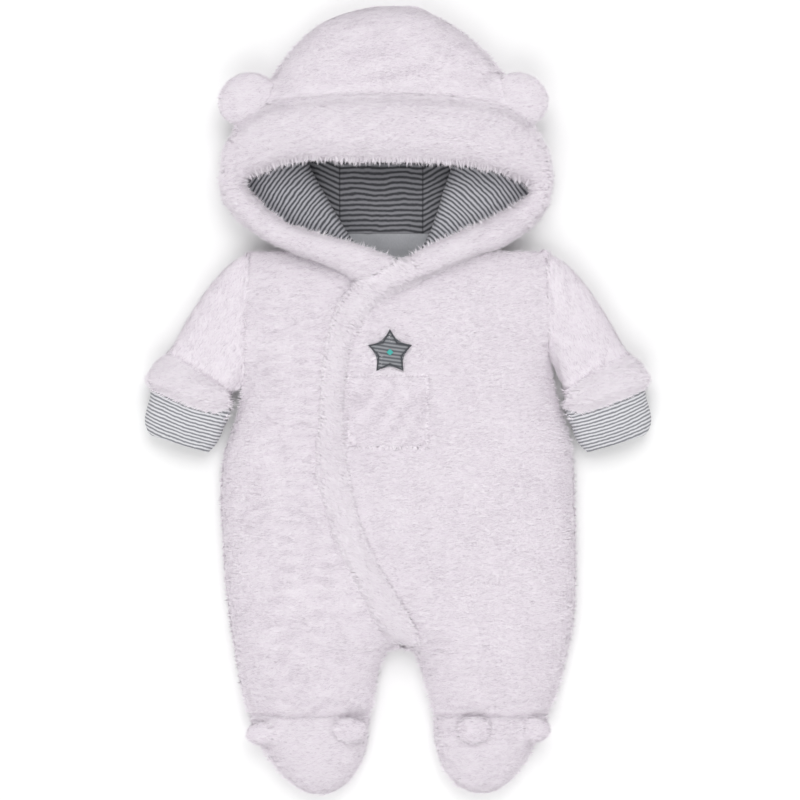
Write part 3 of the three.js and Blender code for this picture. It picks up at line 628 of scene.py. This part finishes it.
def plush_pad(node, name, seed, inset=2.6 * mm, cap=1.2 * mm, reach=pad_touch, keep=anywhere,
              creases=(), **pile):
    """A stuffed piece of plush, with its pile."""
    around = neighbours(node)
    piece = puffed(node, name, around, inset, cap, reach)
    settle(piece, around, 0.0, creases, lumps=0.4, seed=seed, reach=reach)
    piece.data.materials.append(ground)
    grown = grow_pile(piece, around, seed, keep, **pile)
    sewn(piece, [node], grown)
    return piece, grown


def tufts(name, piece, line, spacing, reach, back, seed):
    """Fibres that gather to points past an edge. The line is given in millimetres as rows of x, y
    on the edge and x, y on its inner side."""
    random = np.random.default_rng(seed)
    skin = BVHTree.FromPolygons(
        [v.co for v in piece.data.vertices], [p.vertices for p in piece.data.polygons]
    )
    line = np.array(line) * mm
    steps = np.linalg.norm(np.diff(line[:, :2], axis=0), axis=1)
    along = np.concatenate([[0], np.cumsum(steps)])
    lines, normals = [], []
    place = 0.0
    while place < along[-1]:
        place += spacing * random.uniform(0.2, 1.8)
        x, y, inner_x, inner_y = (np.interp(place, along, line[:, i]) for i in range(4))
        out = np.array([x - inner_x, y - inner_y])
        out /= np.linalg.norm(out)
        side = np.array([-out[1], out[0]])
        tip_flat = np.array([x, y]) + out * reach * random.uniform(0.1, 1.2)
        tip_flat += side * random.normal(0, 1.6 * mm)
        for _ in range(tuft_fibres):
            flat = np.array([x, y]) - out * back * random.uniform(0.15, 1)
            flat += side * random.normal(0, 1.5 * mm)
            hit, way, _, _ = skin.ray_cast(Vector((*flat, above_suit)), Vector((0, 0, -1)))
            if hit is None:
                continue
            foot = np.array(hit)
            tip = np.array([*(tip_flat + random.normal(0, 0.7 * mm, 2)), foot[2] + tuft_lift])
            wide = np.cross(way, tip - foot)
            wide *= pile_width * 0.5 / max(np.linalg.norm(wide), 1e-9)
            lines += [foot + wide, foot - wide, tip]
            normals += [np.array(way) * 0.6 + (0, 0, 0.5)] * 3
    slots = np.digitize(random.random(len(lines) // 3), tuft_shades)
    tuft = fibres(name, np.array(lines), np.array(normals), slots)
    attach(tuft, root)


# The placket's pile is painted lighter than the fronts', a painted highlight along the fuller band.
placket, _ = plush_pad(
    "placket", "placket_band", 40, inset=2 * mm, lie=(1.0, -0.4), rise=0.42, bright=0.3
)
placket_edge = [
    (15.5, 115.5, 3.5, 141.5), (-1, 109, -15.5, 135), (-11.5, 103, -30.7, 128.7),
    (-23.5, 96, -47.2, 113.8), (-35.5, 82.5, -60.5, 97.2), (-45, 65.5, -68.5, 76),
    (-51.5, 44, -73.8, 50.7), (-56, 17, -77, 17.6), (-57.5, -15.6, -78.7, -15.6),
    (-57, -43, -81.5, -45), (-52, -68, -82, -76), (-46.5, -100, -73.6, -107),
    (-38.5, -128, -65.6, -133.8), (-27.5, -153, -54.8, -157.9), (-13.5, -179, -38.8, -190),
    (0.5, -201, -25.4, -219.5), (12.5, -221, -12, -238.2), (21, -243, -1.5, -247.5),
]
tufts(
    "placket_tufts", placket, placket_edge, spacing=4.5 * mm, reach=2.2 * mm, back=6 * mm, seed=45
)

# Sleeves: set into straight armholes, padded like the body, and bent a little at the elbow.
# Each lies flat at the side of the body with its hand end inside the turned-back cuff.
# A few folds cross the inside of the elbow.
sleeve_creases = {
    "left": [(-240, 35, -164, 4, 2.6, 4), (-168, 14, -196, 34, 3.0, 8),
             (-170, 30, -188, 62, 2.2, 8), (-160, 120, -178, 88, 1.6, 10),
             (-222, 62, -200, 52, 1.5, 8)],
    "right": [(240, 35, 164, 4, 2.6, 4), (168, 16, 198, 36, 3.0, 8),
              (168, 36, 190, 66, 2.2, 8), (162, 122, 182, 92, 1.6, 10),
              (224, 66, 200, 50, 1.5, 8)],
}
sleeve_touch = 9 * mm
for seed, side, outward in ((50, "left", -1), (60, "right", 1)):
    sleeve, sleeve_pile = plush_panel(
        f"sleeve_{side}", f"sleeve_{side}_tube", seed, creases=sleeve_creases[side],
        keep=anywhere, reach=sleeve_touch, lie=(0.5 * outward, -0.85),
    )

# Cuffs: the sleeve lining's striped jersey, turned back over the hand end as a soft wide fold.
# Fine grey stripes run round the arm, a little uneven as knitted stripes are, with a rib across.
# The fold's edge is rounded and has no hem.
light_grey = srgb(224, 224, 228)
dark_grey = srgb(122, 123, 129)
seam_shade_grey = srgb(40, 41, 45)
seam_half = 1.1 * mm


def jersey(name, phase_of, period, light, dark, share=0.5, sharp=2.2, wander=1.6 * mm, seams=(),
           fray=1.5 * mm):
    """Striped jersey: phase_of gives each point's way across the stripes, in metres, and seams are
    the places along X of seams, each painted as a dark line of shade in its groove."""
    cloth = Finish(name)
    place = cloth.place()
    drift = (cloth.noise(place, 32.0, 2.0) - 0.5) * (2 * wander)
    blur = (cloth.noise(place, 170.0, 2.0) - 0.5) * fray
    phase = (phase_of(cloth, place) + drift + blur) * (2 * math.pi / period)
    wave = phase.math("SINE") * 0.5 + 0.5
    stripe = ((wave - (1 - share)) * sharp + 0.5).math("MAXIMUM", 0.0).math("MINIMUM", 1.0)
    marl = cloth.noise(cloth.scaled(place, (900.0, 900.0, 900.0)), 1.0, 2.0)
    tone = (stripe * 0.86 + marl * 0.3 - 0.08).math("MAXIMUM", 0.0).math("MINIMUM", 1.0)
    colour = cloth.mix(tone, light, dark)
    height = marl * 0.6 + stripe * 0.25
    if seams:
        sideways = cloth.add("ShaderNodeSeparateXYZ", None, {0: place})
        for seam in seams:
            # Each seam is painted as a dark line, painted shade in its groove, and its groove is
            # pressed in by the bump.
            line = 1.0 - ((sideways - seam).math("ABSOLUTE") / seam_half).math("MINIMUM", 1.0)
            colour = cloth.mix(line * 0.75, colour, seam_shade_grey)
            height = height - line * 1.5
    cloth.finish("Base Color", colour)
    cloth.finish("Roughness", 0.88)
    cloth.finish("Sheen Weight", 0.12)
    cloth.finish("Specular IOR Level", 0.2)
    cloth.bump(height, 0.5 * mm, 0.7)
    return cloth.material


cuff_period = 3.4 * mm
cuff_ring_middle = (0.128, 0.221)  # the stripes bend round it: the cuff droops at its outer side


def ringed_stripes(middle):
    """Stripes as rings round a middle."""
    def phase_of(cloth, place):
        flat = cloth.scaled(place, (1, 1, 0))
        return cloth.add("ShaderNodeVectorMath", {"operation": "DISTANCE"},
                         {0: flat, 1: (*middle, 0)}, output=1)
    return phase_of


for side, outward in (("left", -1), ("right", 1)):
    cuff = subdivided(f"cuff_{side}", f"cuff_{side}_fold", 2)
    cuff_creases = [
        (238 * outward, -4, 232 * outward, -40, 1.4, 5),
        (196 * outward, -30, 206 * outward, -48, 1.2, 5),
    ]
    settle(cuff, neighbours(f"cuff_{side}"), 0.2 * mm, cuff_creases, lumps=0.8, seed=70)
    ring_middle = (cuff_ring_middle[0] * outward, cuff_ring_middle[1])
    cuff.data.materials.append(jersey(
        f"cuff_stripes_{side}", ringed_stripes(ring_middle), cuff_period, light_grey, dark_grey,
        share=0.48, sharp=1.6,
    ))
    sewn(cuff, [f"cuff_{side}"])

# Cuff rolls: the rounded plush edge where the cuff turns back over the sleeve.
# Each is a loop of plush and wadding round the arm, fuller than the sleeve above it.
for seed, side in ((80, "left"), (90, "right")):
    # The rolls' pile is painted lighter than the sleeves', a painted highlight along the full edge.
    roll, _ = plush_pad(
        f"cuff_roll_{side}", f"cuff_roll_{side}_pad", seed, inset=2 * mm, rise=0.45, bright=0.35
    )

# Hood: a back with its sides, and a crown that is eased onto it and onto the face band.
# Both are padded plush. The crown stands high and round, as the photograph's does.
# The back's rim is turned up to the band and to the crown's ends where they stand clear of it.
hood_back, hood_back_pile = plush_panel("hood_back", "hood_back_panel", 100, keep=faces_down)
rim_lines = {  # x, y in millimetres, just inside the rim
    "left_neck": [(-60, 153), (-84, 153.5), (-102, 156), (-113, 161), (-123, 166.5), (-131, 171),
                  (-139.6, 176), (-146.7, 182), (-151.8, 188), (-157, 194)],
    "left_ear": [(-156, 260), (-153, 266), (-149.7, 272), (-146.5, 278), (-143, 284), (-139.8, 290),
                 (-136.4, 296), (-133, 302)],
    "right_neck": [(52, 153), (78, 153.5), (96, 156), (106, 161), (112.5, 166), (120, 170.5),
                   (127.8, 176), (133.9, 182), (136.7, 188), (139.6, 194)],
    "right_ear": [(135.3, 260), (132.8, 266), (130.3, 272), (127.6, 278), (124.7, 284),
                  (121.7, 290), (118.7, 296), (115.7, 302)],
}
rise_foot = 13 * mm
rise_search = 3 * mm  # from the foot to where the ray up to the next piece starts
rise_tuck = 1.5 * mm  # how far the strip goes into that piece
rise_highest = 52 * mm
rise_lowest = 20 * mm
rise_steps = 6


def risen_rim(name, line, around, seed):
    """A strip of the hood's back, standing on its rim and reaching up to what is sewn over it."""
    points, faces = [], []
    for x, y in line:
        foot = Vector((x * mm, y * mm, rise_foot))
        top = around.ray_cast(foot + Vector((0, 0, rise_search)), Vector((0, 0, 1)))[0]
        high = min(top.z + rise_tuck, rise_highest) if top is not None else rise_lowest
        head = Vector((foot.x, foot.y, high))
        points += [foot.lerp(head, i / rise_steps) for i in range(rise_steps + 1)]
    for column in range(len(line) - 1):
        for row in range(rise_steps):
            corner = column * (rise_steps + 1) + row
            face = (corner, corner + rise_steps + 1, corner + rise_steps + 2, corner + 1)
            faces.append(face[::-1] if name.startswith("left") else face)
    strip = mesh_object(f"hood_back_rise_{name}", points, faces)
    strip.data.polygons.foreach_set("use_smooth", [True] * len(faces))
    strip.data.materials.append(ground)
    grown = grow_pile(strip, around, seed, anywhere)
    for part in (strip, grown):
        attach(part, root)
    return [strip, grown]


hood_back_parts = [hood_back_pile]
for number, (name, line) in enumerate(rim_lines.items()):
    hood_back_parts += risen_rim(name, line, neighbours("hood_back"), 300 + 10 * number)


def outer_side(place, way):
    return way.z > -0.1


crown, crown_pile = plush_pad("hood_crown", "hood_crown_panel", 110, keep=outer_side)

# Hood lining: striped jersey over the hood's floor in three panels, with two seams along it.
# The stripes run straight across, and the wadding behind draws them into gentle waves.
lining_period = 5.3 * mm
# Both greys are painted darker than the jersey's own, as painted shade deep inside the hood.
lining_light_shaded = srgb(143, 143, 148)
lining_dark_shaded = srgb(58, 59, 63)
lining_seams = (-0.059, 0.025)
stripe_sag = 0.6 * mm
side_slope = 0.42


def lining_stripes(cloth, place):
    """Stripes that sag a little between the two seams and rise towards the hood's sides."""
    parts = cloth.add("ShaderNodeSeparateXYZ", None, {0: place})
    upward = Number(cloth, parts.socket.node.outputs[1])
    middle = sum(lining_seams) / 2
    half = (lining_seams[1] - lining_seams[0]) / 2
    away = (parts - middle).math("ABSOLUTE")
    outside = (away - half).math("MAXIMUM", 0.0)
    sag = (away * (2 * math.pi / half)).math("COSINE") * stripe_sag
    return upward + sag - outside * side_slope


hood_lining = subdivided("hood_lining", "hood_lining_panel", 3)
lining_creases = [
    (-59, 160, -59, 330, 1.6, 2.5), (25, 160, 25, 330, 1.6, 2.5), (-40, 210, 8, 206, 0.9, 4),
    (-30, 232, 14, 236, 0.8, 5), (-36, 186, 12, 184, 0.8, 4),
]
settle(hood_lining, neighbours("hood_lining"), 0.0, lining_creases, lumps=1.2, seed=120)
hood_lining.data.materials.append(jersey(
    "lining_stripes", lining_stripes, lining_period, lining_light_shaded, lining_dark_shaded,
    wander=2.8 * mm, sharp=1.5, seams=lining_seams,
))
sewn(hood_lining, ["hood_lining"])

# Neck facing: plain grey jersey inside the back of the neck, below the striped lining.
# It lies flat on the back's neck edge, with a soft pucker at the left flap.
facing = subdivided("neck_facing", "neck_facing_panel", 3)
facing_creases = [(-40, 120, 30, 126, 0.8, 5), (-34, 172, -19, 146, 1.4, 1.6)]
settle(facing, neighbours("neck_facing"), 0.0, facing_creases, lumps=0.6, seed=130)
plain = Finish("grey_jersey")
knit = plain.noise(plain.scaled(plain.place(), (900.0, 500.0, 500.0)), 1.0, 2.0)
soft = plain.noise(plain.place(), 70.0, 2.0)
greys = plain.mix(knit * 0.6 + soft * 0.4, srgb(152, 153, 158), srgb(184, 185, 189))
plain.finish("Base Color", greys)
plain.finish("Roughness", 0.88)
plain.bump(knit, 0.4 * mm, 0.6)
facing.data.materials.append(plain.material)
sewn(facing, ["neck_facing"])

# Side linings: the striped lining of the hood's sides, folded inwards over the padded seam.
# Each runs from under the face band to a soft fold and back to the hood's floor, and its stripes
# fan round from the brow to the neck.
fan_period = 4.1 * mm
fan_middle = {"left": (0.004, 0.123), "right": (0.000, 0.125)}
flap_creases = {
    "left": [(-140, 214, -96, 222, 1.6, 5), (-118, 186, -82, 204, 1.4, 5),
             (-76, 168, -62, 190, 1.2, 4)],
    "right": [(120, 212, 70, 224, 1.6, 5), (98, 184, 58, 206, 1.4, 5),
              (60, 168, 44, 190, 1.2, 4)],
}
# The flaps' greys are painted darker than the jersey's own, as painted shade inside the hood, and
# the left flap's darker than the right's.
flap_light_shaded = {"left": srgb(176, 176, 182), "right": srgb(190, 190, 196)}
flap_dark_shaded = {"left": srgb(68, 69, 74), "right": srgb(80, 81, 86)}
for side in ("left", "right"):
    flap = subdivided(f"hood_side_lining_{side}", f"hood_side_lining_{side}_fold", 2)
    around = neighbours(f"hood_side_lining_{side}")
    settle(flap, around, 0.1 * mm, flap_creases[side], lumps=0.9, seed=140)
    flap.data.materials.append(jersey(
        f"flap_stripes_{side}", ringed_stripes(fan_middle[side]), fan_period, flap_light_shaded[side],
        flap_dark_shaded[side], wander=2.6 * mm, sharp=1.6,
    ))
    sewn(flap, [f"hood_side_lining_{side}"])

# Face band: a padded plush band round the hood's opening, widest over the brow.
# Both its ends cross at the neck, and its inner edge hangs over the lining as a fringe.
def band_outside(place, way):
    return way.z > -0.45


# The band's pile is painted a little lighter than the plain pile, a painted highlight round the
# opening.
face_band, _ = plush_pad(
    "face_band", "face_band_pad", 150, keep=band_outside, rise=0.42, bright=0.1
)
opening_edge = [
    (-6, 144.5, -49.5, 121), (-23, 151, -60, 128), (-49.5, 160, -77, 135),
    (-79.5, 166, -102, 144), (-107.5, 176, -133.5, 158), (-131.5, 193, -159.5, 177),
    (-146.5, 208, -175.5, 198), (-152.5, 218, -180, 220), (-147.5, 222, -176.5, 251),
    (-137.5, 226, -161.5, 276), (-117.5, 233, -133.5, 292), (-89.5, 238, -99.5, 300),
    (-49.5, 236, -53.5, 302), (-7.5, 236, -7.5, 303), (32.5, 235, 38.5, 302),
    (68.5, 233, 80.5, 297), (100.5, 226, 114.5, 288), (122.5, 218, 140.5, 270),
    (129.5, 215, 152.5, 248), (132.5, 211, 156.5, 220), (126.5, 204, 151.5, 193),
    (110.5, 192, 134.5, 171), (85.5, 179, 108.5, 153), (55.5, 166, 74.5, 141),
    (30.5, 156, 46.5, 130), (12.5, 145.5, 24.5, 119.5),
]
fringe_parts = {  # the stretch of the edge, then the tufts' spacing, reach, back and seed
    "brow": (opening_edge[8:20], 1.2 * mm, 4.4 * mm, 6 * mm, 155),
    "left": (opening_edge[:9], 1.5 * mm, 3.0 * mm, 5 * mm, 156),
    "right": (opening_edge[19:], 1.5 * mm, 3.0 * mm, 5 * mm, 157),
}
for part, (line, spacing, reach, back_reach, seed) in fringe_parts.items():
    tufts(f"face_band_fringe_{part}", face_band, line, spacing, reach, back_reach, seed)

# Feet: an upper and a sole of padded plush, sewn together round the edge and to the ankle.
# The soles lie on the surface, so only the uppers and the rolled edge between them show.
for seed, side in ((160, "left"), (170, "right")):
    upper, upper_foot_pile = plush_panel(f"foot_{side}", f"foot_{side}_upper", seed, rise=0.4)
    sole, sole_pile = plush_panel(f"sole_{side}", f"sole_{side}_panel", seed + 5, keep=faces_down)

# Ears: round padded discs of plush, two on the hood at the ends of the brow and two on each foot
# at the ankle seam. Those on the feet are fuller and their pile is longer and lies flatter.
ears = [
    ("ear_left", "hood_ear_left"), ("ear_right", "hood_ear_right"),
    ("foot_ear_left_outer", "foot_ear_1"), ("foot_ear_left_inner", "foot_ear_2"),
    ("foot_ear_right_inner", "foot_ear_3"), ("foot_ear_right_outer", "foot_ear_4"),
]
# The hood's ears have their pile painted lighter, a painted highlight, and the feet's ears theirs a
# little darker, painted shade.
hood_ear_look = {"inset": 1.2 * mm, "length": 5 * mm, "bright": 0.2, "rise": 0.42}
foot_ear_look = {"inset": -0.4 * mm, "length": 6 * mm, "bright": -0.1, "rise": 0.3}
for number, (node, name) in enumerate(ears):
    look = hood_ear_look if name.startswith("hood") else foot_ear_look
    ear, _ = plush_pad(node, name, 180 + 10 * number, cap=2.5 * mm, reach=1.8 * mm, **look)

# Pocket: a square patch of the same plush on the upper front, sewn on three sides.
# Tufts of its pile lie over its edges, so that they read as soft lines.
# The pocket's pile is painted darker than the front round it, as painted shade over the patch.
pocket, pocket_pile = plush_panel(
    "pocket", "pocket_patch", 250, levels=3, length=5 * mm, bright=-0.4
)
pocket_edge = [
    (-49.5, 25.5, -43, 18), (29.5, 25.5, 23, 18), (29.5, -48, 23, -41), (-49.5, -48, -43, -41),
    (-49.5, 25.5, -43, 18),
]
tufts("pocket_tufts", pocket, pocket_edge, spacing=1.5 * mm, reach=2.4 * mm, back=4 * mm, seed=255)

# Badge: a plain five-pointed star of grey striped jersey over the pocket's top edge, with its
# edge oversewn in dark thread and a small teal patch.
def straight_stripes(angle_degrees):
    """Stripes whose way across them is turned that far from the suit's length."""
    angle = math.radians(angle_degrees)
    across = (math.sin(angle), math.cos(angle), 0.0)

    def phase_of(cloth, place):
        return cloth.add("ShaderNodeVectorMath", {"operation": "DOT_PRODUCT"},
                         {0: place, 1: across}, output=1)
    return phase_of


badge = subdivided("badge", "badge_star", 2)
badge.data.materials.append(jersey(
    "badge_stripes", straight_stripes(8), 3.6 * mm, srgb(146, 148, 152), srgb(92, 94, 99),
    wander=0.5 * mm, fray=0.3 * mm,
))
sewn(badge, ["badge"])


def stitches(name, ends, wide, thread):
    """Short threads, each a low arch from end to end. The ends are pairs of points."""
    points, faces = [], []
    for first, last in ends:
        first, last = Vector(first), Vector(last)
        side = (last - first).cross(Vector((0, 0, 1))).normalized() * wide / 2
        lift = Vector((0, 0, wide * 0.6))
        start = len(points)
        for share, high in ((0, 0), (0.25, 0.85), (0.75, 0.85), (1, 0)):
            middle = first.lerp(last, share) + lift * high
            points += [middle - side, middle + lift * 0.5, middle + side]
        for row in range(3):
            for column in range(2):
                corner = start + row * 3 + column
                faces.append((corner, corner + 3, corner + 4, corner + 1))
    made = mesh_object(name, points, faces)
    made.data.materials.append(thread)
    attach(made, root)


def thread_of(name, colour):
    thread = Finish(name)
    thread.finish("Base Color", colour)
    thread.finish("Roughness", 0.5)
    return thread.material


badge_box = [badge.matrix_world @ Vector(corner) for corner in badge.bound_box]
badge_top = max(corner.z for corner in badge_box)
badge_middle = Vector((-8 * mm, 47.5 * mm, badge_top))
star_radius = 23 * mm
star_waist = 12.5 * mm
edge_wide = 1.9 * mm
stitch_step = 0.7 * mm
patch_half = 3.4 * mm
patch_taper = 0.576 * mm
patch_row = 0.62 * mm
corners = []
for i in range(11):
    angle = math.pi / 2 + i * math.pi / 5
    out = star_radius if i % 2 == 0 else star_waist
    corners.append(badge_middle + Vector((math.cos(angle), math.sin(angle), 0)) * out)
edge_ends = []
for first, last in zip(corners, corners[1:]):
    inward = (badge_middle - (first + last) / 2).normalized() * edge_wide
    steps = round((last - first).length / stitch_step)
    for step in range(steps):
        outer = first.lerp(last, (step + 0.5) / steps)
        edge_ends.append((outer, outer + inward))
stitches("badge_edge_stitches", edge_ends, stitch_step, thread_of("dark_thread", srgb(72, 74, 79)))
patch_ends = []
for row in range(9):
    half = Vector((patch_half - patch_taper * abs(row - 4), 0, 0))
    place = badge_middle + Vector((0, (row - 4) * patch_row, 0.1 * mm))
    patch_ends.append((place - half, place + half))
teal_thread = thread_of("teal_thread", srgb(74, 178, 172))
stitches("badge_centre_stitches", patch_ends, stitch_step, teal_thread)

# The suit is whole.
bpy.context.view_layer.update()
